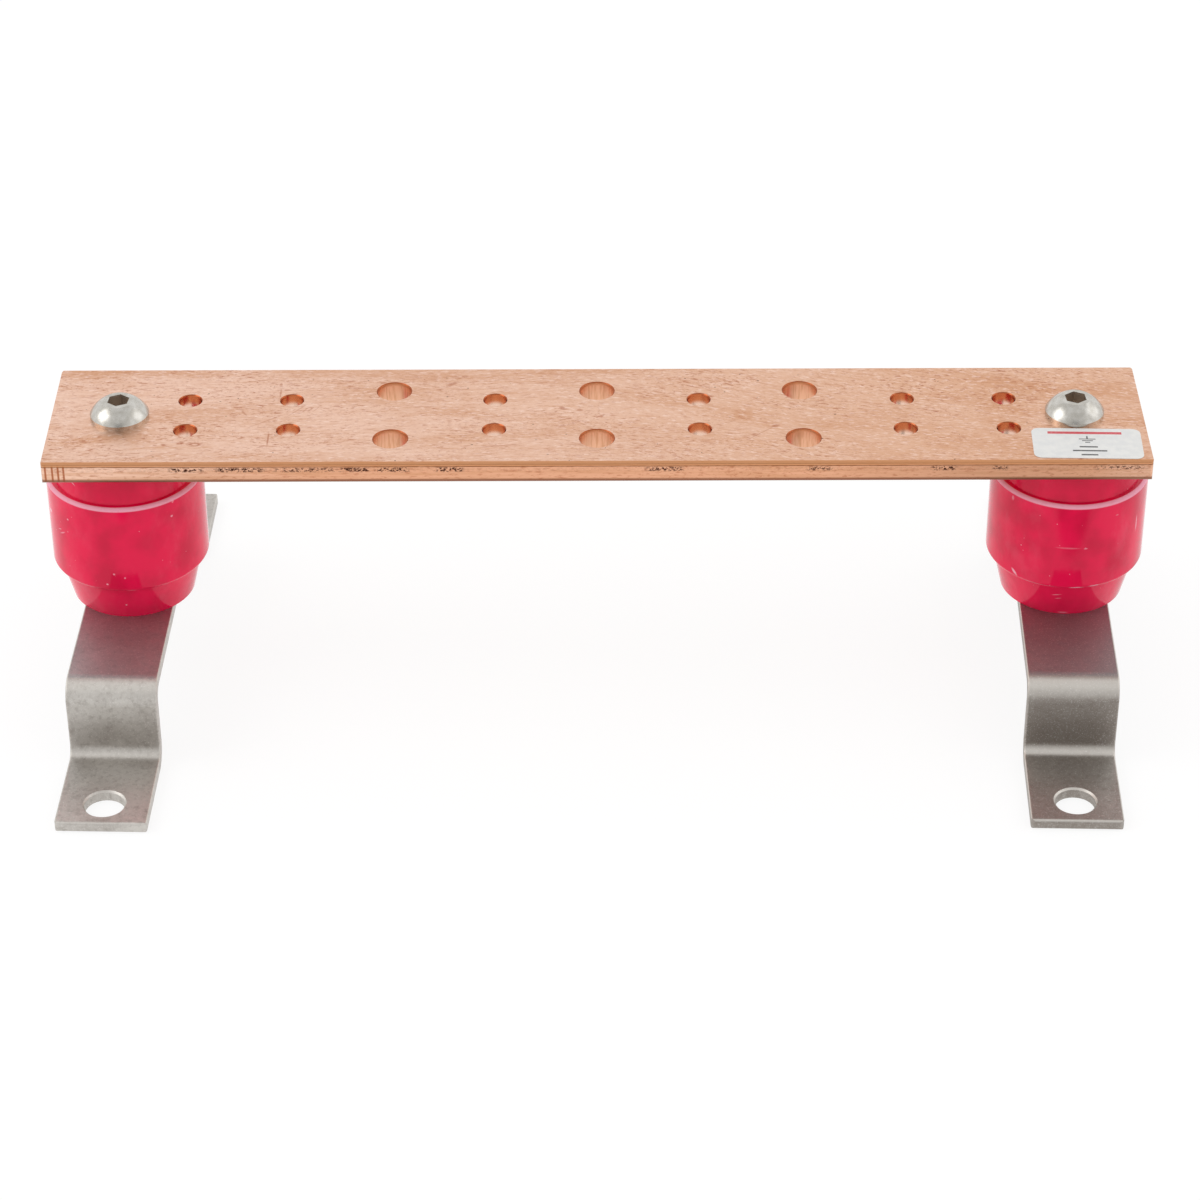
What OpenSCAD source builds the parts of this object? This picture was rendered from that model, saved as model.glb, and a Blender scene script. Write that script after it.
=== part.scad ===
// Rack grounding busbar: a drilled copper bar on two standoff insulators, each on a stainless hat bracket.
// The brackets' feet stand on Z = 0, the bar runs along X, and the origin is under the middle of the bar.

/* [Bar] */
// Length of the copper bar
bar_l = 304.8; // [150:0.1:600]
// Width of the copper bar
bar_w = 50.8; // [48:0.1:60]
// Thickness of the copper bar
bar_t = 6.35; // [5:0.05:9]
// Radius of the rolled long edges
bar_edge_r = 1; // [0.4:0.1:2]
// Radius of the two rear corners, seen from above
bar_rear_corner_r = 2; // [0.5:0.1:4]
// Radius of the two front corners, seen from above
bar_front_corner_r = 0.8; // [0.3:0.1:3]

/* [Lug holes] */
// Distance between two neighbouring columns of holes
column_pitch = 28.575; // [20:0.025:40]
// Least bare copper between the outermost holes and the label or a screw head
hole_field_gap = 1; // [0.5:0.1:2.5]
// Columns up to this far from the middle take wide hole pairs, at every second column
wide_reach = 2; // [0:2:4]
// Diameter of the narrow holes
narrow_hole_d = 6.35; // [4.5:0.05:8]
// Distance between the two narrow holes of a pair
narrow_pair = 15.875; // [12:0.025:19]
// Diameter of the wide holes
wide_hole_d = 9.525; // [6:0.025:11.5]
// Distance between the two wide holes of a pair
wide_pair = 25.4; // [18:0.1:30]
// Bevel around both ends of a lug hole
lug_hole_bevel = 0.25; // [0.1:0.05:0.5]

/* [Label] */
// Length of the label
label_l = 30.1; // [20:0.1:32]
// Thickness of the label
label_t = 0.15; // [0.1:0.01:0.3]
// Corner radius of the label
label_corner_r = 2.2; // [1:0.1:3.5]
// Bare copper between the label and the end of the bar
label_end_gap = 2.2; // [0.8:0.1:3]
// Bare copper between the label and the rounded front edge of the bar
label_front_gap = 0.4; // [0.3:0.1:2]
// Bare copper between the label and the screw head
label_head_gap = 0.4; // [0.2:0.01:2]
// Turn of the label, which was stuck on by hand
label_turn = -1.7; // [-2:0.1:2]

/* [Insulators] */
// Distance from an end of the bar to the insulator's axis
insulator_end_distance = 19.05; // [16:0.05:24]
// Height of an insulator
insulator_h = 49.8; // [46:0.1:70]
// Diameter of the belt around the middle
belt_d = 44.3; // [43:0.1:50]
// Width of the step between a neck and the belt
belt_step = 2; // [1.6:0.1:4]
// What a neck's radius loses between the belt and the end face
neck_taper = 2.75; // [0.5:0.05:4]
// Height of the neck above the belt
upper_neck_h = 10.5; // [8:0.1:16]
// Height of the neck below the belt
lower_neck_h = 11.4; // [8:0.1:16]
// Radius of the belt's upper edge
belt_upper_r = 1.2; // [0.3:0.1:1.5]
// Radius of the belt's lower edge
belt_lower_r = 1.3; // [0.3:0.1:1.5]

/* [Threaded inserts] */
// Diameter of a moulded-in insert
insert_d = 15.875; // [14:0.025:18]
// Length of a moulded-in insert
insert_l = 15.9; // [14.5:0.1:20]
// Gap between a screw's thread and the insert, all round
thread_gap = 0.1; // [0.05:0.01:0.2]

/* [Screws and bolts] */
// Thread diameter of the screws and bolts
screw_d = 9.525; // [8:0.025:10]
// Length of the screws and bolts under the head
screw_l = 19.05; // [16:0.05:20]
// Extra diameter of the holes that the screws and bolts pass through
screw_clearance = 0.8; // [0.3:0.1:1.2]
// Diameter of the domed screw head
head_d = 16.4; // [14:0.02:18]
// Height of the domed screw head
head_h = 5.03; // [4.6:0.01:6]
// Height of the straight band around the rim of the head
head_rim_h = 1.1; // [0.3:0.1:1.4]
// Diameter of the flat on top of the head
head_flat_d = 8.4; // [7.6:0.1:9.5]
// Width across the flats of the hexagon socket
socket_af = 5.56; // [4.5:0.02:6]
// Depth of the hexagon socket
socket_depth = 3.1; // [2:0.1:3.6]
// Turn of the left screw's socket
left_socket_turn = 24; // [0:1:59]
// Turn of the right screw's socket
right_socket_turn = 35; // [0:1:59]
// Width across the flats of the bolt head
bolt_af = 14.29; // [13:0.01:16]
// Height of the bolt head
bolt_head_h = 5.95; // [5:0.05:7]
// Outer diameter of the lock washer
washer_d = 17.3; // [16:0.1:19]
// Inner gap between the lock washer and the bolt, all round
washer_gap = 0.2; // [0.1:0.05:0.4]
// Thickness of the lock washer
washer_t = 2.39; // [1.5:0.01:3]
// Width of the lock washer's split
washer_split = 1; // [0.5:0.1:2]

/* [Brackets] */
// Width of the bracket strip
strip_w = 25.4; // [24:0.1:32]
// Thickness of the bracket strip
strip_t = 3.175; // [2:0.025:4]
// Radius of the strip's rolled long edges
strip_edge_r = 0.5; // [0.2:0.1:0.9]
// Inside radius of the four bends
bend_r = 3.175; // [2:0.025:4]
// Height of the raised plate above the feet, top face to top face
bracket_rise = 22.9; // [20:0.1:40]
// Distance from the insulator's axis to the outer face of a riser
riser_reach = 52.2; // [40:0.1:80]
// Length of a foot beyond the riser's outer face
foot_l = 31.4; // [27:0.1:60]
// Distance from the end of a foot to the middle of its hole
foot_hole_distance = 8.9; // [8:0.1:12]
// Diameter of a foot's hole
foot_hole_d = 11.11; // [8:0.01:12]
// Bevel around the top of a foot's hole
foot_hole_bevel = 0.5; // [0.2:0.1:0.8]
// Corner radius of a foot, seen from above
foot_corner_r = 1.5; // [0.5:0.1:4]
// Radius of the rolled edges across a foot's end
foot_end_r = 0.8; // [0.2:0.1:0.9]
// Turn of both brackets about their insulators
bracket_turn = -1.7; // [-5:0.1:5]

/* [Hidden] */
$fn = 96;
left = -1;
right = 1;
over = 1;
hexagon = 6;
quarter = 90;
insulator_x = bar_l / 2 - insulator_end_distance;
neck_d = belt_d - 2 * belt_step;
end_d = neck_d - 2 * neck_taper;
foot_reach = riser_reach + foot_l;
hole_reach = foot_reach - foot_hole_distance;
raised_top_z = strip_t + bracket_rise;
raised_underside_z = bracket_rise;
bar_z = raised_top_z + insulator_h;
bar_top_z = bar_z + bar_t;
belt_h = insulator_h - lower_neck_h - upper_neck_h;
insert_bore_d = screw_d + 2 * thread_gap;
screw_hole_d = screw_d + screw_clearance;
washer_bore_d = screw_d + 2 * washer_gap;
bolt_shank_z = raised_underside_z - washer_t;
bend_outer_r = bend_r + strip_t;
screw_tip = 0.9;
hexagon_round = 1 / cos(180 / hexagon);
label_x = bar_l / 2 - label_end_gap - label_l / 2;
hole_field_x = min(label_x - label_l / 2, insulator_x - head_d / 2) - hole_field_gap;
side_columns = floor((hole_field_x - narrow_hole_d / 2) / column_pitch);
label_front = -bar_w / 2 + bar_edge_r + label_front_gap;
label_rear = -head_d / 2 - label_head_gap;
label_w = label_rear - label_front;
label_y = (label_front + label_rear) / 2;
copper = [0.84, 0.56, 0.44];
crimson = [0.78, 0.07, 0.22];
brass = [0.78, 0.64, 0.36];
stainless = [0.62, 0.61, 0.60];
bright_steel = [0.80, 0.79, 0.77];

// Puts the child on the axis of the left or right insulator.
module at_insulator(side) {
    translate([side * insulator_x, 0, 0]) children();
}

// What a rounding of radius r takes off a square corner at the origin, which points to +X and +Y.
module corner_waste(r) {
    translate([-r, -r]) difference() {
        square(r + over);
        circle(r);
    }
}

// A rectangle around the origin with rounded corners: the two at +Y by rear_r, the two at -Y by front_r.
module rounded_plate(l, w, rear_r, front_r) {
    difference() {
        square([l, w], center = true);
        for (end = [left, right]) {
            scale([end, 1]) translate([l / 2, w / 2]) corner_waste(rear_r);
            scale([end, -1]) translate([l / 2, w / 2]) corner_waste(front_r);
        }
    }
}

// A hole of diameter d through a plate of thickness t, bevelled where it comes out on top.
module bevelled_hole(d, t, bevel) {
    bevel_top = bevel + over;
    translate([0, 0, -over]) cylinder(d = d, h = t + 2 * over);
    translate([0, 0, t - bevel]) cylinder(d1 = d, d2 = d + 2 * bevel_top, h = bevel_top);
}

function is_wide(column) = column % 2 == 0 && abs(column) <= wide_reach;

module lug_holes() {
    for (column = [-side_columns : side_columns]) {
        pair = is_wide(column) ? wide_pair : narrow_pair;
        hole_d = is_wide(column) ? wide_hole_d : narrow_hole_d;
        for (row = [-1, 1]) {
            translate([column * column_pitch, row * pair / 2, 0]) {
                bevelled_hole(hole_d, bar_t, lug_hole_bevel);
                translate([0, 0, bar_t]) mirror([0, 0, 1]) bevelled_hole(hole_d, bar_t, lug_hole_bevel);
            }
        }
    }
}

module ground_bar() {
    color(copper) translate([0, 0, bar_z]) difference() {
        intersection() {
            translate([-bar_l / 2, 0, bar_t / 2]) rotate([quarter, 0, quarter]) linear_extrude(bar_l)
                rounded_plate(bar_w, bar_t, bar_edge_r, bar_edge_r);
            translate([0, 0, -over]) linear_extrude(bar_t + 2 * over)
                rounded_plate(bar_l, bar_w, bar_rear_corner_r, bar_front_corner_r);
        }
        lug_holes();
        for (side = [left, right]) {
            at_insulator(side) translate([0, 0, -over]) cylinder(d = screw_hole_d, h = bar_t + 2 * over);
        }
    }
}

module label() {
    color("white") translate([label_x, label_y, bar_top_z]) rotate(label_turn) linear_extrude(label_t)
        rounded_plate(label_l, label_w, label_corner_r, label_corner_r);
}

// Half of the head's section: a rim, a dome that is one arc, and a flat on top.
module head_section() {
    rim_r = head_d / 2;
    flat_r = head_flat_d / 2;
    dome_h = head_h - head_rim_h;
    below = (rim_r * rim_r - flat_r * flat_r - dome_h * dome_h) / (2 * dome_h);
    square([rim_r, head_rim_h]);
    intersection() {
        translate([0, head_rim_h]) square([rim_r, dome_h]);
        translate([0, head_rim_h - below]) circle(sqrt(rim_r * rim_r + below * below), $fn = 4 * $fn);
    }
}

// A threaded shank of length l that points down from the origin, with a bevelled tip.
module shank(l) {
    translate([0, 0, screw_tip - l]) cylinder(d = screw_d, h = l - screw_tip);
    translate([0, 0, -l]) cylinder(d1 = screw_d - 2 * screw_tip, d2 = screw_d, h = screw_tip);
}

module bar_screw(side, socket_turn) {
    color(bright_steel) at_insulator(side) translate([0, 0, bar_top_z]) {
        difference() {
            rotate_extrude() head_section();
            translate([0, 0, head_h - socket_depth]) rotate(socket_turn)
                cylinder(d = socket_af * hexagon_round, h = socket_depth + over, $fn = hexagon);
        }
        shank(screw_l);
    }
}

// Half of the insulator's section, standing on its lower end face.
module insulator_section() {
    polygon([[0, 0], [end_d / 2, 0], [neck_d / 2, lower_neck_h], [neck_d / 2, insulator_h - upper_neck_h],
             [end_d / 2, insulator_h], [0, insulator_h]]);
    translate([0, lower_neck_h]) difference() {
        square([belt_d / 2, belt_h]);
        translate([belt_d / 2, belt_h]) corner_waste(belt_upper_r);
        translate([belt_d / 2, 0]) scale([1, -1]) corner_waste(belt_lower_r);
    }
}

module insulator(side) {
    color(crimson) at_insulator(side) translate([0, 0, raised_top_z]) difference() {
        rotate_extrude() insulator_section();
        translate([0, 0, insulator_h - insert_l]) cylinder(d = insert_d, h = insert_l + over);
        translate([0, 0, -over]) cylinder(d = insert_d, h = insert_l + over);
    }
}

// A brass bush moulded into an end of the insulator, flush with its end face.
module threaded_insert(side, z) {
    color(brass) at_insulator(side) translate([0, 0, z]) difference() {
        cylinder(d = insert_d, h = insert_l);
        translate([0, 0, -over]) cylinder(d = insert_bore_d, h = insert_l + 2 * over);
    }
}

// The strip's section: its thickness along X and its width along Y.
module strip_section() {
    rounded_plate(strip_t, strip_w, strip_edge_r, strip_edge_r);
}

// A straight run of strip from the origin along X, with its thickness along Y and its width along Z.
module strip_run(l) {
    rotate([quarter, 0, quarter]) linear_extrude(l) strip_section();
}

// A quarter bend of the strip around the origin, from +X to +Y.
module strip_bend() {
    rotate_extrude(angle = quarter) translate([bend_r + strip_t / 2, 0]) strip_section();
}

// One half of the hat, drawn outwards along X and upwards along Y, with the foot at its far end.
module half_hat() {
    top_end = riser_reach - bend_outer_r;
    foot_start = riser_reach + bend_r;
    translate([0, raised_underside_z + strip_t / 2, 0]) strip_run(top_end);
    translate([top_end, raised_top_z - bend_outer_r, 0]) strip_bend();
    translate([riser_reach - strip_t / 2, bend_outer_r, 0]) rotate(quarter)
        strip_run(raised_top_z - 2 * bend_outer_r);
    translate([foot_start, bend_outer_r, 0]) rotate(2 * quarter) strip_bend();
    translate([foot_start, strip_t / 2, 0]) strip_run(foot_reach - foot_start);
}

// What is cut from the foot at +Y: its hole, its two corners, and its end's upper and lower edge.
module foot_waste() {
    translate([0, hole_reach, 0]) bevelled_hole(foot_hole_d, strip_t, foot_hole_bevel);
    for (edge = [-1, 1]) {
        translate([edge * strip_w / 2, foot_reach, -over]) linear_extrude(strip_t + 2 * over)
            scale([edge, 1]) corner_waste(foot_corner_r);
        translate([0, foot_reach, strip_t / 2]) scale([1, 1, edge]) rotate([quarter, 0, quarter])
            linear_extrude(strip_w + 2 * over, center = true)
                translate([0, strip_t / 2]) corner_waste(foot_end_r);
    }
}

module bracket(side) {
    color(stainless) at_insulator(side) rotate(bracket_turn) difference() {
        for (end = [0, 1]) {
            mirror([0, end, 0]) rotate([quarter, 0, quarter]) half_hat();
        }
        translate([0, 0, raised_underside_z - over]) cylinder(d = screw_hole_d, h = strip_t + 2 * over);
        for (end = [0, 1]) {
            mirror([0, end, 0]) foot_waste();
        }
    }
}

module lock_washer(side) {
    color(bright_steel) at_insulator(side) translate([0, 0, bolt_shank_z]) difference() {
        cylinder(d = washer_d, h = washer_t);
        translate([0, 0, -over]) cylinder(d = washer_bore_d, h = washer_t + 2 * over);
        translate([0, -washer_split / 2, -over]) cube([washer_d, washer_split, washer_t + 2 * over]);
    }
}

module bracket_bolt(side) {
    color(bright_steel) at_insulator(side) translate([0, 0, bolt_shank_z]) {
        translate([0, 0, -bolt_head_h]) intersection() {
            cylinder(d = bolt_af * hexagon_round, h = bolt_head_h, $fn = hexagon);
            cylinder(d1 = bolt_af, d2 = bolt_af + 2 * bolt_head_h, h = bolt_head_h);
        }
        mirror([0, 0, 1]) shank(screw_l);
    }
}

ground_bar();
label();
bar_screw(left, left_socket_turn);  // bar_screw_left
bar_screw(right, right_socket_turn);  // bar_screw_right
insulator(left);  // insulator_left
insulator(right);  // insulator_right
threaded_insert(left, bar_z - insert_l);  // upper_insert_left
threaded_insert(right, bar_z - insert_l);  // upper_insert_right
threaded_insert(left, raised_top_z);  // lower_insert_left
threaded_insert(right, raised_top_z);  // lower_insert_right
bracket(left);  // bracket_left
bracket(right);  // bracket_right
lock_washer(left);  // lock_washer_left
lock_washer(right);  // lock_washer_right
bracket_bolt(left);  // bracket_bolt_left
bracket_bolt(right);  // bracket_bolt_right
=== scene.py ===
import math

import bpy
from mathutils import Matrix, Vector


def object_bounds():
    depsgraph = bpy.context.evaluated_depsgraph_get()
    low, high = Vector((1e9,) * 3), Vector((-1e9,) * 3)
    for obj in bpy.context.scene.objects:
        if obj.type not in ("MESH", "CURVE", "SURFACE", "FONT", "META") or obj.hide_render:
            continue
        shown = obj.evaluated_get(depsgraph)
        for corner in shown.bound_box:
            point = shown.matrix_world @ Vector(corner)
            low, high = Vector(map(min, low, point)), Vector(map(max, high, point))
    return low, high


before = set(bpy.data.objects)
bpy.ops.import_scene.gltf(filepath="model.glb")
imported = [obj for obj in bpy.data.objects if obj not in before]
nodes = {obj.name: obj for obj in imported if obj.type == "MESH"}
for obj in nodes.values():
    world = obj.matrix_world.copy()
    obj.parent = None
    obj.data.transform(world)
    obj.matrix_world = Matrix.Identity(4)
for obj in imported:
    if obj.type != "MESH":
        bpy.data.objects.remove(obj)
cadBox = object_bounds()
cadCentre = (cadBox[0] + cadBox[1]) / 2
millimetre = 0.001
print("frame:", len(nodes), "solids")


def colour(red, green, blue):
    def straight(value):
        value = value / 255
        return value / 12.92 if value <= 0.04045 else ((value + 0.055) / 1.055) ** 2.4
    return (straight(red), straight(green), straight(blue), 1.0)


# Small helpers that draw patterns with nodes.
class Patterns:
    def __init__(self, tree):
        self.tree = tree

    def node(self, kind):
        return self.tree.nodes.new(kind)

    def feed(self, socket, value):
        if isinstance(value, bpy.types.NodeSocket):
            self.tree.links.new(value, socket)
        else:
            socket.default_value = value

    def sums(self, operation, *values):
        node = self.node("ShaderNodeMath")
        node.operation = operation
        for socket, value in zip(node.inputs, values):
            self.feed(socket, value)
        return node.outputs[0]

    def product(self, *values):
        out = values[0]
        for value in values[1:]:
            out = self.sums("MULTIPLY", out, value)
        return out

    def total(self, *values):
        out = values[0]
        for value in values[1:]:
            out = self.sums("ADD", out, value)
        return out

    def either(self, *values):
        out = values[0]
        for value in values[1:]:
            out = self.sums("MAXIMUM", out, value)
        return out

    def span(self, value):
        return self.sums("ABSOLUTE", value)

    def rise(self, value, low, high, bottom=0.0, top=1.0):
        node = self.node("ShaderNodeMapRange")
        node.interpolation_type = "SMOOTHSTEP"
        for socket, number in zip(node.inputs, (value, low, high, bottom, top)):
            self.feed(socket, number)
        return node.outputs[0]

    def fall(self, value, low, high):
        return self.rise(value, low, high, 1.0, 0.0)

    def between(self, value, low, high, soft):
        risen = self.rise(value, low - soft, low + soft)
        return self.product(risen, self.fall(value, high - soft, high + soft))

    def scaled(self, place, factors):
        node = self.node("ShaderNodeVectorMath")
        node.operation = "MULTIPLY"
        self.feed(node.inputs[0], place)
        self.feed(node.inputs[1], factors)
        return node.outputs[0]

    def joined(self, x, y, z):
        node = self.node("ShaderNodeCombineXYZ")
        for socket, value in zip(node.inputs, (x, y, z)):
            self.feed(socket, value)
        return node.outputs[0]

    def parted(self, place):
        node = self.node("ShaderNodeSeparateXYZ")
        self.feed(node.inputs[0], place)
        return node.outputs

    def noise(self, place, scale=1.0, detail=2.0, roughness=0.5):
        node = self.node("ShaderNodeTexNoise")
        self.feed(node.inputs["Vector"], place)
        node.inputs["Scale"].default_value = scale
        node.inputs["Detail"].default_value = detail
        node.inputs["Roughness"].default_value = roughness
        return node.outputs["Fac"]

    def specks(self, place, spacing, radius, share):
        node = self.node("ShaderNodeTexVoronoi")
        self.feed(node.inputs["Vector"], place)
        node.inputs["Scale"].default_value = 1 / spacing
        pick = self.parted(node.outputs["Color"])
        chosen = self.rise(pick[0], 1 - share, 1 - share + 0.01)
        size = self.rise(pick[1], 0.0, 1.0, radius * 0.5 / spacing, radius / spacing)
        away = self.sums("DIVIDE", node.outputs["Distance"], size)
        return self.product(chosen, self.fall(away, 0.6, 1.1))

    def mixed(self, share, a, b):
        node = self.node("ShaderNodeMix")
        node.data_type = "RGBA"
        for index, value in ((0, share), (6, a), (7, b)):
            self.feed(node.inputs[index], value)
        return node.outputs[2]

    # A soft-edged ellipse, turned by degrees, with an open middle where ring is above 0.
    def mark(self, x, y, centre, halfLength, halfWidth, turn=0.0, soft=0.4, ring=0.0):
        cosine, sine = math.cos(math.radians(turn)), math.sin(math.radians(turn))
        offsetX = self.sums("SUBTRACT", x, centre[0])
        offsetY = self.sums("SUBTRACT", y, centre[1])
        u = self.total(self.product(offsetX, cosine / halfLength), self.product(offsetY, sine / halfLength))
        v = self.total(self.product(offsetY, cosine / halfWidth), self.product(offsetX, -sine / halfWidth))
        radius = self.sums("SQRT", self.total(self.product(u, u), self.product(v, v)))
        filled = self.fall(radius, 1 - soft, 1 + soft)
        return self.product(filled, self.rise(radius, ring - soft, ring)) if ring else filled


# A finish is one node material, drawn in millimetres on the object's own coordinates.
class Finish(Patterns):
    def __init__(self, name, metallic=0.0):
        self.material = bpy.data.materials.new(name)
        self.material.use_nodes = True
        super().__init__(self.material.node_tree)
        self.shader = self.tree.nodes["Principled BSDF"]
        self.shader.inputs["Metallic"].default_value = metallic
        place = self.node("ShaderNodeTexCoord").outputs["Object"]
        self.place = self.scaled(place, (1000, 1000, 1000))
        self.x, self.y, self.z = self.parted(self.place)

    def dress(self, base, roughness, height=None, depth=0.01):
        self.feed(self.shader.inputs["Base Color"], base)
        self.feed(self.shader.inputs["Roughness"], roughness)
        if height is not None:
            bump = self.node("ShaderNodeBump")
            bump.inputs["Distance"].default_value = depth * millimetre
            self.feed(bump.inputs["Height"], height)
            self.feed(self.shader.inputs["Normal"], bump.outputs["Normal"])
        return self.material


# Copper bar: drawn, with a roll grain along it, tarnish, and knocks from handling; its glints, front edges and
# holes carry painted light and shade.
copperBar = {
    "pink": colour(236, 197, 175),
    "pale": colour(226, 181, 152),
    "tan": colour(206, 148, 108),
    "rust": colour(172, 96, 60),
    "soot": colour(74, 42, 32),
    "paintedGlint": colour(246, 214, 198),
    "faceRose": colour(246, 204, 180),
    "faceTan": colour(230, 172, 138),
    "rollReflection": colour(214, 150, 104),
    "rollDarkReflection": colour(140, 88, 56),
    "underShadeLine": colour(136, 88, 66),
    "mouth": colour(212, 140, 98),
    "bore": colour(238, 204, 184),
    "wideBore": colour(238, 184, 150),
    "wideColumn": 57.15,
    "wideReach": (5.2, 6.0),
    "boredWithinX": (151.0, 151.6),
    "boredWithinY": (23.0, 23.4),
    "mouthRise": (78.6, 80.3),
    "wideMouthRise": (80.8, 81.9),
    "front": -25.4,
    "pitHeights": (79.5, 80.8),
    "bandRise": (81.15, 81.4),
    "lineHeights": (80.95, 81.25),
    "underFall": (76.8, 77.5),
    "handlingMarks": [  # x, y, half length, half width, turn, strength, ring
        (-111.0, -15.4, 1.6, 0.9, 0, 0.8, 0.75), (-115.2, -14.9, 0.9, 0.5, 10, 0.7, 0.6),
        (-119.6, -15.6, 0.7, 0.5, -20, 0.6, 0), (-122.0, -15.8, 0.5, 0.3, 0, 0.5, 0),
        (-92.0, -3.0, 5.0, 0.22, 36, 0.35, 0), (-97.0, 3.4, 3.5, 0.2, -22, 0.3, 0),
        (-84.0, 2.4, 4.0, 0.22, 52, 0.35, 0), (-81.6, 2.9, 1.6, 0.16, 58, 0.35, 0),
        (-80.2, 3.0, 1.6, 0.16, 58, 0.35, 0), (-78.6, 3.2, 1.5, 0.16, 58, 0.3, 0),
        (-98.6, 1.0, 1.6, 0.3, -60, 0.4, 0),
        (-91.0, -13.0, 0.25, 3.0, 0, 0.6, 0), (-89.4, -16.6, 1.4, 0.25, 0, 0.35, 0),
        (-89.2, 11.6, 0.25, 2.2, 0, 0.5, 0), (-89.4, 16.4, 0.4, 0.9, 0, 0.55, 0),
        (45.0, -10.6, 5.5, 0.16, 42, 0.4, 0), (49.6, -6.4, 1.1, 0.6, 20, 0.6, 0),
        (27.6, -10.0, 0.6, 0.5, 0, 0.6, 0), (43.6, -10.8, 0.6, 0.4, 0, 0.5, 0),
        (31.6, -7.4, 1.0, 0.35, 20, 0.4, 0), (-9.8, 3.4, 0.7, 0.9, 30, 0.5, 0),
        (-4.8, 2.2, 0.9, 0.6, 0, 0.45, 0), (-27.0, -16.5, 5.0, 0.4, 8, 0.35, 0),
        (-41.0, 16.5, 1.6, 0.7, 35, 0.5, 0), (-37.5, 20.6, 0.9, 0.6, 0, 0.45, 0),
    ],
    "softPatches": [  # x, y, half length, half width, turn, strength: broad stains
        (113.5, -1.0, 6.5, 6.0, 0, 0.55), (-50.0, -2.5, 7.0, 3.6, 0, 0.4),
        (-36.0, 1.0, 8.0, 3.0, 0, 0.35), (41.0, 0.0, 3.0, 3.5, -20, 0.5),
        (68.0, -5.0, 10.0, 7.0, 0, 0.3), (84.0, 2.0, 9.0, 5.0, 0, 0.35),
        (60.0, 10.0, 14.0, 3.0, -15, 0.25), (-88.0, -9.0, 5.0, 3.0, 0, 0.3),
        (-100.0, -22.0, 10.0, 1.2, 8, 0.4), (-14.0, -19.5, 22.0, 1.3, 3, 0.35),
        (140.0, 13.0, 10.0, 4.0, 0, 0.4), (-140.0, 2.0, 6.0, 6.0, 0, 0.3),
    ],
    "pitRuns": [  # x, half length, strength: dark pits along the top of the front face
        (-112.5, 5.5, 1.0), (-98.0, 8.0, 1.0), (-80.0, 10.0, 0.8), (-66.5, 5.0, 1.0),
        (-56.0, 5.5, 1.0), (-40.5, 4.5, 1.2), (18.5, 6.0, 1.0), (61.0, 4.0, 0.8),
        (95.0, 4.0, 1.0), (110.5, 2.5, 0.8), (143.0, 8.0, 0.7),
    ],
    "sawMarks": (-151.2, -149.3, -147.7, -146.2),
}


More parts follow.
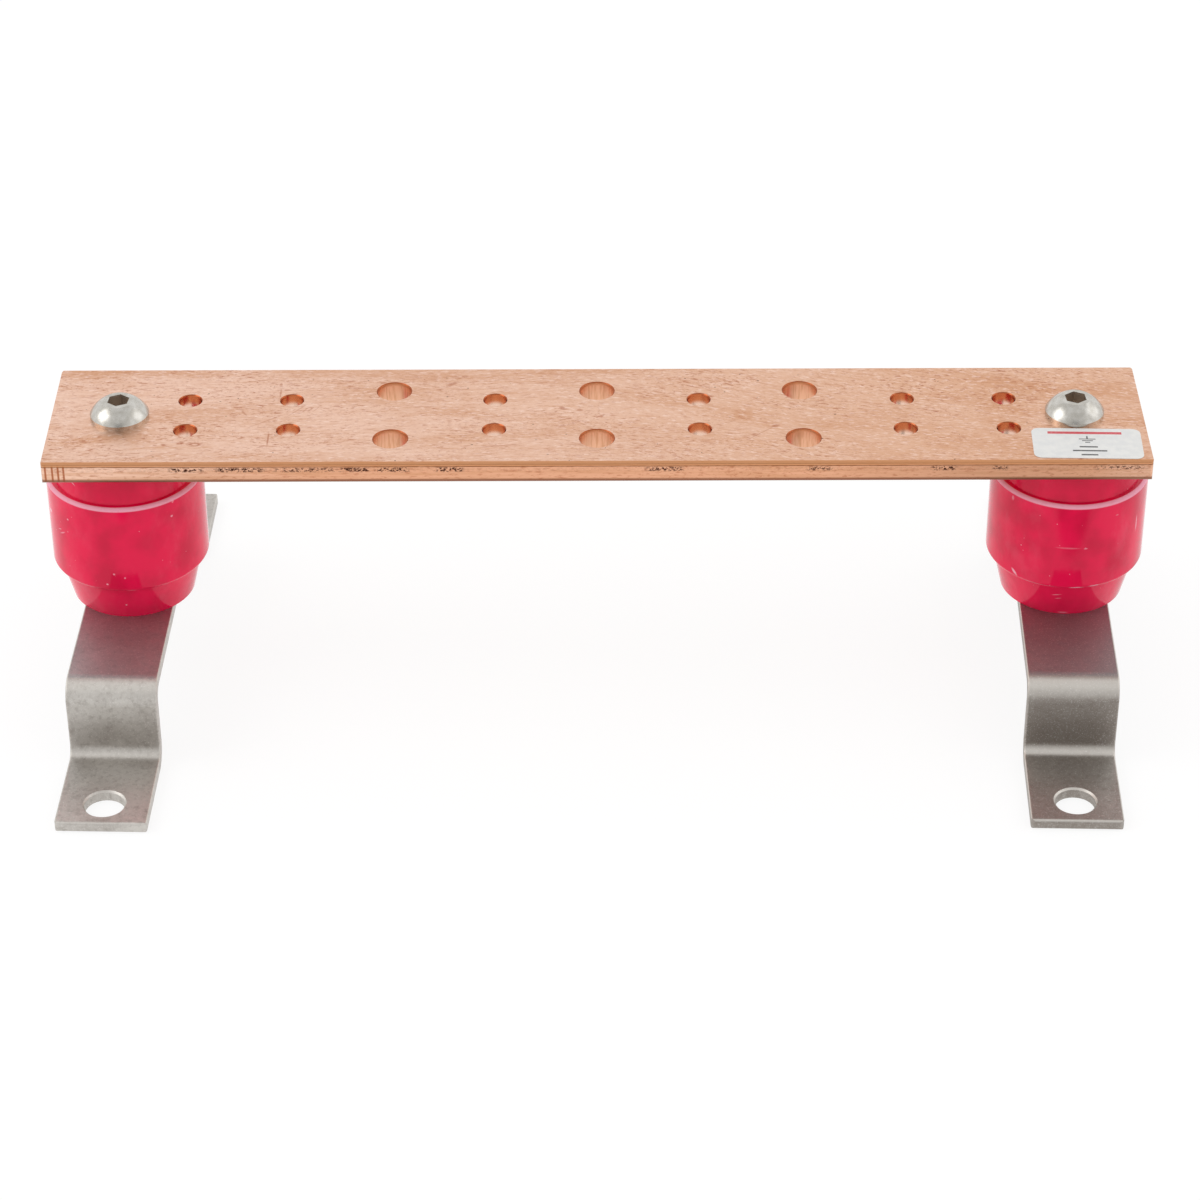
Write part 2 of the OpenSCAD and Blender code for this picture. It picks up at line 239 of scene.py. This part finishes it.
def copperFinish():
    c = Finish("drawn_copper", metallic=1.0)
    x, y, z = c.x, c.y, c.z
    drift = c.noise(c.scaled(c.place, (0.011, 0.03, 0.03)), detail=1.0)
    tilt = c.product(c.rise(x, -70.0, 80.0), 0.16)
    bentY = c.total(y, c.product(drift, 16.0), c.product(x, tilt))

    def grain(alongX, alongY, place, detail, roughness):
        place = c.joined(c.product(x, alongX), c.product(bentY, alongY), place)
        return c.noise(place, detail=detail, roughness=roughness)

    density = c.rise(c.noise(c.joined(c.product(x, 0.035), c.product(y, 0.09), z), detail=2.0), 0.3, 0.68)
    clouds = grain(0.022, 0.11, c.product(z, 0.1), 4.0, 0.6)
    strokes = grain(0.42, 2.1, c.product(z, 2.1), 3.0, 0.62)
    dashes = grain(0.95, 3.1, c.total(z, 17.0), 2.0, 0.7)
    threads = grain(0.09, 1.1, c.product(z, 1.1), 4.0, 0.6)
    glints = grain(0.5, 1.6, c.total(z, 40.0), 3.0, 0.6)

    # the top: pink to pale, stains, then the grain with painted glints, freckles and knocks over them
    toRight = c.rise(x, -140.0, 110.0)
    paleShare = c.total(toRight, c.product(c.total(clouds, -0.5), 0.9))
    base = c.mixed(paleShare, copperBar["pink"], copperBar["pale"])
    atEnds = c.rise(c.span(x), 95.0, 145.0)
    atRear = c.rise(y, 9.0, 21.0)
    tarnishLimit = c.total(0.38, c.product(atEnds, 0.3), c.product(atRear, 0.2))
    tarnish = c.product(c.rise(clouds, 0.44, 0.7), tarnishLimit)
    base = c.mixed(tarnish, base, copperBar["tan"])
    for across, along, halfLength, halfWidth, turn, strength in copperBar["softPatches"]:
        patch = c.mark(x, y, (across, along), halfLength, halfWidth, turn, soft=0.45)
        base = c.mixed(c.product(patch, strength, c.rise(clouds, 0.2, 0.7)), base, copperBar["tan"])
    # painted highlight: pale glints along the grain
    base = c.mixed(c.product(c.rise(glints, 0.5, 0.7), 0.75), base, copperBar["paintedGlint"])
    base = c.mixed(c.product(c.rise(threads, 0.5, 0.7), 0.36), base, copperBar["tan"])
    strokeShare = c.product(c.rise(strokes, 0.53, 0.68), c.total(0.26, c.product(density, 0.5)))
    base = c.mixed(strokeShare, base, copperBar["rust"])
    dashShare = c.product(c.rise(dashes, 0.58, 0.7), c.total(0.22, c.product(density, 0.55)))
    base = c.mixed(dashShare, base, copperBar["rust"])
    smallFreckles = c.specks(c.place, 2.4, 0.26, 0.22)
    freckles = c.either(smallFreckles, c.specks(c.scaled(c.place, (1, 1.6, 1)), 4.2, 0.42, 0.24))
    base = c.mixed(c.product(freckles, c.total(0.3, c.product(density, 0.65))), base, copperBar["soot"])
    for across, along, halfLength, halfWidth, turn, strength, ring in copperBar["handlingMarks"]:
        knock = c.mark(x, y, (across, along), halfLength, halfWidth, turn, soft=0.45, ring=ring)
        base = c.mixed(c.product(knock, strength, c.rise(strokes, 0.2, 0.45)), base, copperBar["rust"])

    # the front face, a painted reflection on the rolled band above it, a painted dark reflection line just under
    # that band, and a painted shade line along the bottom edge
    onFront = c.fall(y, copperBar["front"] + 0.02, copperBar["front"] + 0.3)
    streaks = c.noise(c.joined(c.product(x, 0.05), y, c.product(z, 1.4)), detail=4.0, roughness=0.6)
    tanShare = c.total(c.rise(x, -150.0, -70.0), c.product(c.rise(x, 132.0, 150.0), -0.45))
    face = c.mixed(tanShare, copperBar["faceRose"], copperBar["faceTan"])
    face = c.mixed(c.product(c.rise(streaks, 0.42, 0.66), 0.5), face, copperBar["tan"])
    face = c.mixed(c.product(c.rise(strokes, 0.52, 0.68), 0.5), face, copperBar["rust"])
    base = c.mixed(onFront, base, face)
    pitNoise = c.noise(c.joined(c.product(x, 1.5), y, c.product(z, 2.2)), detail=3.0, roughness=0.7)
    pitRow = None
    for across, halfLength, strength in copperBar["pitRuns"]:
        away = c.span(c.sums("SUBTRACT", x, across))
        run = c.product(c.fall(away, halfLength * 0.6, halfLength), strength)
        pitRow = run if pitRow is None else c.either(pitRow, run)
    pitRow = c.product(c.total(pitRow, 0.12), c.between(z, *copperBar["pitHeights"], 0.4))
    pits = c.product(onFront, pitRow, c.rise(pitNoise, 0.46, 0.56))
    base = c.mixed(pits, base, copperBar["soot"])
    for across in copperBar["sawMarks"]:
        away = c.span(c.sums("SUBTRACT", x, across))
        cut = c.product(c.fall(away, 0.15, 0.4), onFront, c.rise(strokes, 0.15, 0.4))
        base = c.mixed(c.product(cut, 0.9), base, copperBar["rust"])
    # painted reflection: the rolled top edge in a darker tan
    band = c.product(c.rise(z, *copperBar["bandRise"]), c.fall(y, -24.55, -24.35))
    base = c.mixed(c.product(band, 0.9), base, copperBar["rollReflection"])
    # painted reflection: a dark line where the roll meets the front face
    line = c.product(
        c.between(z, *copperBar["lineHeights"], 0.12),
        c.fall(y, -25.0, -24.8),
        c.rise(strokes, 0.2, 0.6, 0.55, 1.0),
    )
    base = c.mixed(line, base, copperBar["rollDarkReflection"])
    # painted shade: a dark line along the bottom edge, which faces the shaded floor
    under = c.product(c.fall(z, *copperBar["underFall"]), c.fall(y, -24.6, -24.3))
    base = c.mixed(c.product(under, 0.9), base, copperBar["underShadeLine"])

    # holes are bored smooth; their walls carry painted shade, brown at the mouth, and painted floor light, pale
    # below it; the wide ones carry a painted shaded band at the mouth over reaming marks, and every bore is
    # darker at the very top edge
    facing = c.parted(c.node("ShaderNodeNewGeometry").outputs["Normal"])
    steep = c.fall(c.span(facing[2]), 0.75, 0.85)
    withinY = c.fall(c.span(y), *copperBar["boredWithinY"])
    bored = c.product(steep, withinY, c.fall(c.span(x), *copperBar["boredWithinX"]))
    boreColour = c.mixed(c.rise(z, *copperBar["mouthRise"]), copperBar["bore"], copperBar["mouth"])
    fromColumn = c.span(c.sums("SUBTRACT", c.span(x), copperBar["wideColumn"]))
    wide = c.either(c.fall(c.span(x), *copperBar["wideReach"]), c.fall(fromColumn, *copperBar["wideReach"]))
    reamed = c.noise(c.joined(c.product(x, 1.8), c.product(y, 1.8), c.product(z, 0.15)), detail=2.0)
    # painted shade in a band at the mouth of the wide holes, with reaming marks over the wall
    mouthShadeAndReaming = c.either(c.rise(z, *copperBar["wideMouthRise"]), c.product(c.rise(reamed, 0.45, 0.65), 0.6))
    wideColour = c.mixed(mouthShadeAndReaming, copperBar["wideBore"], copperBar["tan"])
    boreColour = c.mixed(wide, boreColour, wideColour)
    boreColour = c.mixed(c.rise(z, 81.95, 82.0), boreColour, copperBar["rust"])
    base = c.mixed(bored, base, boreColour)
    roughness = c.total(0.27, c.product(strokes, 0.12), c.product(bored, c.total(-0.09, c.product(wide, 0.16))))
    height = c.total(c.product(strokes, -1.0), c.product(glints, 0.6), c.product(pits, -2.0))
    height = c.product(height, c.sums("SUBTRACT", 1.0, bored))
    return c.dress(base, roughness, height, 0.012)


# Insulators: glossy moulded polyester, chalky along the rims, dusty, with a faint film towards the sides that is
# partly dust and partly painted sheen.
insulatorBody = {
    "crimson": colour(231, 2, 69),
    "deep": colour(206, 0, 58),
    "chalk": colour(236, 164, 184),
    "dust": colour(242, 176, 192),
    "axisX": 133.35,
    "shoulder": 65.375,
    "beltFoot": 37.475,
    "beltRadius": 22.15,
    "gloss": 0.27,
    "scuffs": [  # side, arc round from the front, z, half length, half width, turn, strength
        (-1, -26.2, 56.4, 0.9, 0.6, 20, 0.9), (-1, -15.9, 58.5, 0.3, 0.25, 0, 0.8),
        (-1, 15.9, 59.6, 0.35, 0.3, 0, 0.7), (-1, 16.6, 64.2, 0.3, 0.5, 0, 0.6),
        (-1, -19.0, 52.7, 1.3, 0.2, 30, 0.5), (-1, -20.2, 53.4, 0.8, 0.15, 20, 0.5),
        (-1, -16.2, 70.4, 1.3, 0.16, -22, 0.6), (-1, -16.0, 69.2, 1.3, 0.16, -22, 0.6),
        (-1, -4.4, 40.0, 0.3, 0.25, 0, 0.7), (-1, -2.2, 43.6, 0.3, 0.3, 0, 0.6),
        (-1, 0.8, 42.4, 0.25, 0.3, 0, 0.6), (-1, 2.4, 37.9, 1.4, 0.12, 0, 0.5),
        (1, -17.4, 39.4, 1.2, 0.4, -40, 0.85), (1, -2.0, 51.4, 3.0, 0.25, 0, 0.22),
        (1, 3.0, 51.2, 0.5, 0.2, 0, 0.5), (1, 20.9, 53.9, 0.35, 2.4, 0, 0.6),
        (1, 1.2, 38.0, 1.7, 0.3, 0, 0.9), (1, 6.4, 38.2, 1.5, 0.22, 0, 0.9),
        (1, -9.6, 38.0, 4.6, 0.12, 0, 0.5), (1, -4.2, 33.6, 1.4, 0.14, 10, 0.5),
        (1, -3.6, 32.2, 1.0, 0.12, 10, 0.4), (1, -1.6, 26.6, 1.6, 0.16, 0, 0.6),
        (1, -19.8, 63.0, 0.4, 0.7, 0, 0.4), (1, 12.0, 60.5, 0.5, 0.2, 0, 0.3),
    ],
}


def crimsonFinish():
    c = Finish("moulded_crimson")
    b = insulatorBody
    c.shader.inputs["Specular IOR Level"].default_value = b["gloss"]
    ownX = c.sums("SUBTRACT", c.x, c.product(c.sums("SIGN", c.x), b["axisX"]))
    radius = c.sums("SQRT", c.total(c.product(ownX, ownX), c.product(c.y, c.y)))
    arc = c.product(c.sums("ARCTAN2", ownX, c.product(c.y, -1.0)), b["beltRadius"])
    rightOne = c.rise(c.x, -1.0, 1.0)
    leftOne = c.sums("SUBTRACT", 1.0, rightOne)
    cloud = c.noise(c.place, 0.09, 3.0)
    film = c.noise(c.scaled(c.place, (1, 1, 0.6)), 0.16, 4.0, 0.6)
    scuff = c.noise(c.place, 0.7, 4.0, 0.7)
    fine = c.noise(c.place, 2.5, 2.0)
    base = c.mixed(c.rise(cloud, 0.35, 0.7), b["crimson"], b["deep"])
    # partly dust film, partly painted sheen: a faint pale film laid on towards the sides and kept off the front
    sideSheenAndFilm = c.product(c.rise(film, 0.42, 0.75), c.product(c.rise(c.span(arc), 5.0, 14.0), 0.06))
    base = c.mixed(sideSheenAndFilm, base, b["dust"])
    dust = c.either(c.specks(c.place, 1.9, 0.16, 0.3), c.specks(c.place, 4.6, 0.34, 0.25))
    base = c.mixed(c.product(dust, 0.6), base, b["dust"])
    atRim = c.rise(c.z, b["shoulder"] - 1.25, b["shoulder"] - 0.85)
    rim = c.product(
        atRim,
        c.rise(radius, b["beltRadius"] - 1.1, b["beltRadius"] - 0.7),
        c.fall(c.z, b["shoulder"] + 0.1, b["shoulder"] + 0.2),
    )
    base = c.mixed(c.product(rim, c.rise(scuff, 0.2, 0.5, 0.7, 0.95)), base, b["chalk"])
    lowRim = c.product(
        c.between(c.z, b["beltFoot"] - 0.1, b["beltFoot"] + 0.7, 0.2),
        rightOne,
        c.rise(scuff, 0.58, 0.66),
        c.rise(radius, 20.3, 20.8),
    )
    base = c.mixed(c.product(lowRim, 0.6), base, b["dust"])
    scuffed = None
    for side, around, up, halfLength, halfWidth, turn, strength in b["scuffs"]:
        own = rightOne if side > 0 else leftOne
        spot = c.product(c.mark(arc, c.z, (around, up), halfLength, halfWidth, turn, soft=0.45), own, strength)
        scuffed = spot if scuffed is None else c.either(scuffed, spot)
    base = c.mixed(c.product(scuffed, c.rise(fine, 0.3, 0.5, 0.5, 1.0)), base, b["dust"])
    roughness = c.total(0.06, c.product(c.rise(scuff, 0.5, 0.8), 0.1), c.product(rim, 0.35), c.product(dust, 0.3))
    return c.dress(base, roughness, c.total(cloud, c.product(fine, 0.02)), 0.02)


# Brackets: tumbled mill stainless, the right one darker by painted shade, with painted shade low on the risers
# and painted highlights on the bends.
bracketStrip = {
    "light": colour(206, 202, 196),
    "grey": colour(188, 183, 177),
    "stainAndShade": colour(128, 118, 110),
    "wearAndHighlight": colour(226, 221, 214),
    "dust": colour(240, 236, 232),
    "cool": colour(146, 166, 170),
    "plateFace": 26.075,
    "shadedLowRiser": (7.0, 15.0),
}


def bracketFinish():
    c = Finish("mill_stainless", metallic=1.0)
    b = bracketStrip
    cloud = c.noise(c.place, 0.08, 4.0, 0.6)
    mottle = c.noise(c.place, 0.7, 5.0, 0.65)
    grit = c.noise(c.place, 2.6, 3.0, 0.6)
    facing = c.parted(c.node("ShaderNodeNewGeometry").outputs["Normal"])
    bend = c.product(c.rise(facing[2], 0.08, 0.75), c.fall(facing[2], 0.86, 0.995))
    upright = c.fall(facing[1], -0.97, -0.9)
    base = c.mixed(c.rise(cloud, 0.35, 0.65), b["grey"], b["light"])
    base = c.mixed(c.product(c.rise(mottle, 0.44, 0.74), 0.4), base, b["stainAndShade"])
    # painted shade: the right bracket darker, its upright faces more so
    rightOne = c.rise(c.x, -60.0, 60.0)
    base = c.mixed(c.product(rightOne, c.total(0.52, c.product(upright, 0.15))), base, b["stainAndShade"])
    # painted shade: a darker band low on the upright faces, where they reflect the grey foot
    shadedLowRiser = c.product(upright, c.between(c.z, *b["shadedLowRiser"], 3.0))
    base = c.mixed(c.product(shadedLowRiser, 0.3), base, b["stainAndShade"])
    # painted highlight: the bends pale, more so on the right bracket
    base = c.mixed(c.product(bend, c.total(0.4, c.product(rightOne, 0.3))), base, b["wearAndHighlight"])
    atPlate = c.rise(c.z, b["plateFace"] - 0.5, b["plateFace"] - 0.2)
    onPlate = c.product(atPlate, c.rise(facing[2], 0.95, 0.99))
    base = c.mixed(c.product(onPlate, 0.5), base, b["cool"])
    base = c.mixed(c.product(c.rise(grit, 0.55, 0.66), 0.3), base, b["dust"])
    base = c.mixed(c.product(c.specks(c.place, 1.3, 0.17, 0.3), 0.6), base, b["dust"])
    roughness = c.total(0.42, c.product(mottle, 0.16))
    return c.dress(base, roughness, c.total(mottle, c.product(grit, 0.5)), 0.012)


# Screws, bolts and washers: satin stainless.
fastener = {
    "light": colour(206, 203, 197),
    "grey": colour(186, 182, 174),
    "socket": colour(186, 172, 158),
    "axisX": 133.35,
    "socketFloor": 83.5,
    "headTop": 87.255,
    "socketReach": 3.4,
}


def screwFinish():
    c = Finish("satin_stainless", metallic=1.0)
    f = fastener
    offset = c.sums("SUBTRACT", c.span(c.x), f["axisX"])
    radius = c.sums("SQRT", c.total(c.product(offset, offset), c.product(c.y, c.y)))
    cloud = c.noise(c.place, 0.5, 3.0)
    fine = c.noise(c.scaled(c.place, (1.0, 1.0, 3.0)), 2.5, 3.0)
    base = c.mixed(c.rise(cloud, 0.3, 0.7), f["grey"], f["light"])
    # a darker, warmer tone inside the hex socket
    inSocket = c.product(
        c.fall(radius, f["socketReach"] - 0.05, f["socketReach"] + 0.05),
        c.rise(c.z, f["socketFloor"], f["socketFloor"] + 0.1),
        c.fall(c.z, f["headTop"] - 0.15, f["headTop"] - 0.05),
    )
    base = c.mixed(inSocket, base, f["socket"])
    roughness = c.total(0.2, c.product(fine, 0.12), c.product(inSocket, 0.25))
    return c.dress(base, roughness, fine, 0.006)


# Inserts: turned brass, hidden in the insulators.
insertBush = {
    "dark": colour(190, 158, 96),
    "light": colour(216, 186, 120),
}


def brassFinish():
    c = Finish("turned_brass", metallic=1.0)
    turning = c.noise(c.scaled(c.place, (0.4, 0.4, 3.0)), 1.0, 3.0)
    base = c.mixed(turning, insertBush["dark"], insertBush["light"])
    return c.dress(base, c.total(0.28, c.product(turning, 0.1)), turning, 0.01)


# Label: white satin sheet with a plain printed pattern, no words.
labelSheet = {
    "white": colour(229, 228, 225),
    "shade": colour(220, 220, 219),
    "red": colour(206, 58, 68),
    "ink": colour(58, 56, 58),
    "centre": (135.15, -16.3),
    "turn": -1.7,
    "bars": [  # along, across, half length, half width, ink
        (-0.4, 5.35, 10.2, 0.62, "red"), (0.2, -1.9, 2.5, 0.34, "ink"),
        (0.4, -3.9, 4.7, 0.34, "ink"), (0.2, -6.0, 2.3, 0.34, "ink"),
        (0.1, 2.9, 0.2, 0.75, "ink"), (0.1, 2.15, 2.3, 0.2, "ink"),
        (0.1, 1.3, 1.5, 0.2, "ink"), (0.1, 0.45, 0.7, 0.2, "ink"),
    ],
}


def labelFinish():
    c = Finish("printed_label")
    s = labelSheet
    turn = math.radians(s["turn"])
    offsetX = c.sums("SUBTRACT", c.x, s["centre"][0])
    offsetY = c.sums("SUBTRACT", c.y, s["centre"][1])
    along = c.total(c.product(offsetX, math.cos(turn)), c.product(offsetY, math.sin(turn)))
    across = c.total(c.product(offsetY, math.cos(turn)), c.product(offsetX, -math.sin(turn)))
    paper = c.noise(c.place, 0.4, 3.0)
    base = c.mixed(c.rise(paper, 0.3, 0.7), s["white"], s["shade"])
    wearAndHighlight = c.rise(c.noise(c.place, 3.0, 2.0), 0.25, 0.45, 0.6, 0.95)
    for centreAlong, centreAcross, halfLength, halfWidth, ink in s["bars"]:
        bar = c.product(
            c.fall(c.span(c.sums("SUBTRACT", along, centreAlong)), halfLength - 0.08, halfLength + 0.08),
            c.fall(c.span(c.sums("SUBTRACT", across, centreAcross)), halfWidth - 0.08, halfWidth + 0.08),
        )
        base = c.mixed(c.product(bar, wearAndHighlight), base, s[ink])
    return c.dress(base, c.total(0.38, c.product(paper, 0.1)), paper, 0.004)


finishes = {
    "copper": copperFinish(), "insulator": crimsonFinish(), "bracket": bracketFinish(),
    "screw": screwFinish(), "brass": brassFinish(), "label": labelFinish(),
}
nodeFinish = {
    "ground_bar": "copper", "label": "label",
    "bar_screw": "screw", "bracket_bolt": "screw", "lock_washer": "screw",
    "insulator": "insulator", "upper_insert": "brass", "lower_insert": "brass", "bracket": "bracket",
}
for nodeName, node in nodes.items():
    kind = nodeName.removesuffix("_left").removesuffix("_right")
    for slot in node.material_slots:
        slot.material = finishes[nodeFinish[kind]]
print("finishes: on", len(nodes), "solids")


# Studio: a white sweep, a dimmer ceiling, a small dim patch on the camera side, a softbox on each side.
studio = {
    "floorSize": 8.0,
    "floorShade": 0.20,
    "floorGlow": 0.82,
    "dimGlow": 0.2,
    "dimPatches": [  # x, y, half length, half width, in mm
        (138.0, -124.0, 48.0, 27.0), (-133.0, -127.0, 22.0, 9.0),
    ],
    "sweep": 1.0,
    "ceiling": 0.82,
    "cameraSide": 0.3,
    "ceilingLift": (50, 64),  # degrees up from the rear horizon
    "cameraSideLift": (140, 147, 157, 166),
    "cameraSideHalfWidth": (0.12, 0.32),
    "sweepFrom": (0.4, 0.7),  # how far to a side the sweep takes over
    "lamps": [
        {"name": "leftSoftbox", "towards": (-0.79, -0.11, 0.60), "distance": 1.7, "size": 1.0, "power": 4.7},
        {"name": "rightSoftbox", "towards": (0.84, 0.12, 0.54), "distance": 1.7, "size": 1.1, "power": 1.9},
    ],
}


def makeFloor():
    bpy.ops.object.select_all(action="DESELECT")
    bpy.ops.mesh.primitive_plane_add(size=studio["floorSize"], location=(0, 0, 0))
    floor = bpy.context.object
    floor.name = "studio_floor"
    sheet = Finish("studio_floor")
    shade = studio["floorShade"]
    sheet.shader.inputs["Base Color"].default_value = (shade, shade, shade, 1)
    sheet.shader.inputs["Roughness"].default_value = 1.0
    sheet.shader.inputs["Specular IOR Level"].default_value = 0.0
    sheet.shader.inputs["Emission Color"].default_value = (1, 1, 1, 1)
    glow = studio["floorGlow"]
    for across, along, halfLength, halfWidth in studio["dimPatches"]:
        patch = sheet.mark(sheet.x, sheet.y, (across, along), halfLength, halfWidth, soft=0.25)
        glow = sheet.total(glow, sheet.product(patch, studio["dimGlow"] - studio["floorGlow"]))
    seen = sheet.node("ShaderNodeLightPath").outputs["Is Camera Ray"]
    unseen = sheet.sums("SUBTRACT", 1.0, seen)
    glow = sheet.total(sheet.product(glow, unseen), sheet.product(seen, studio["floorGlow"]))
    sheet.feed(sheet.shader.inputs["Emission Strength"], glow)
    floor.data.materials.append(sheet.material)


def makeWorld():
    world = bpy.data.worlds.new("studio")
    bpy.context.scene.world = world
    world.use_nodes = True
    tree = world.node_tree
    sky = Patterns(tree)
    x, y, z = sky.parted(sky.node("ShaderNodeTexCoord").outputs["Generated"])
    lift = sky.sums("ARCTAN2", z, y)  # 0 at the rear horizon, a half turn at the front one
    overhead = sky.rise(lift, *(math.radians(angle) for angle in studio["ceilingLift"]))
    begins, full, ebbs, ends = (math.radians(angle) for angle in studio["cameraSideLift"])
    towardsCamera = sky.product(
        sky.rise(lift, begins, full),
        sky.fall(lift, ebbs, ends),
        sky.fall(sky.span(x), *studio["cameraSideHalfWidth"]),
    )
    level = sky.total(
        studio["sweep"],
        sky.product(overhead, studio["ceiling"] - studio["sweep"]),
        sky.product(towardsCamera, studio["cameraSide"] - studio["ceiling"]),
    )
    side = sky.rise(sky.span(x), *studio["sweepFrom"])
    level = sky.total(sky.product(level, sky.sums("SUBTRACT", 1.0, side)), sky.product(side, studio["sweep"]))
    seen = sky.node("ShaderNodeLightPath").outputs["Is Camera Ray"]
    strength = sky.total(sky.product(level, sky.sums("SUBTRACT", 1.0, seen)), seen)
    background = tree.nodes["Background"]
    background.inputs["Color"].default_value = (1, 1, 1, 1)
    sky.feed(background.inputs["Strength"], strength)


def makeLamps():
    for lamp in studio["lamps"]:
        light = bpy.data.lights.new(lamp["name"], "AREA")
        light.size = lamp["size"]
        light.energy = lamp["power"]
        holder = bpy.data.objects.new(lamp["name"], light)
        bpy.context.scene.collection.objects.link(holder)
        towards = Vector(lamp["towards"]).normalized()
        holder.location = cadCentre + towards * lamp["distance"]
        holder.rotation_mode = "QUATERNION"
        holder.rotation_quaternion = towards.to_track_quat("Z", "Y")


makeFloor()
makeWorld()
makeLamps()
print("studio: floor, world and", len(studio["lamps"]), "lamps")


# Camera: lens and sensor in mm, distance in metres, angles in degrees.
view = {
    "lens": 107.39,
    "sensor": 36.0,
    "distance": 1.0218,
    "elevation": 34.388,
    "yaw": 0.069,
    "roll": -0.207,
    "nearest": 0.05,
    "aim": (0.67, -11.33, -16.55),  # from the middle of the object's box
}


def makeCamera():
    data = bpy.data.cameras.new("camera")
    data.lens = view["lens"]
    data.sensor_width = view["sensor"]
    data.clip_start = view["nearest"]
    camera = bpy.data.objects.new("camera", data)
    bpy.context.scene.collection.objects.link(camera)
    aim = cadCentre + Vector(view["aim"]) * millimetre
    turn = Matrix.Rotation(math.radians(view["yaw"]), 4, "Z")
    turn = turn @ Matrix.Rotation(math.radians(90 - view["elevation"]), 4, "X")
    turn = turn @ Matrix.Rotation(math.radians(view["roll"]), 4, "Z")
    camera.matrix_world = Matrix.Translation(aim) @ turn @ Matrix.Translation((0, 0, view["distance"]))
    bpy.context.scene.camera = camera


makeCamera()
bpy.context.scene.view_settings.view_transform = "Standard"
print("camera: set")
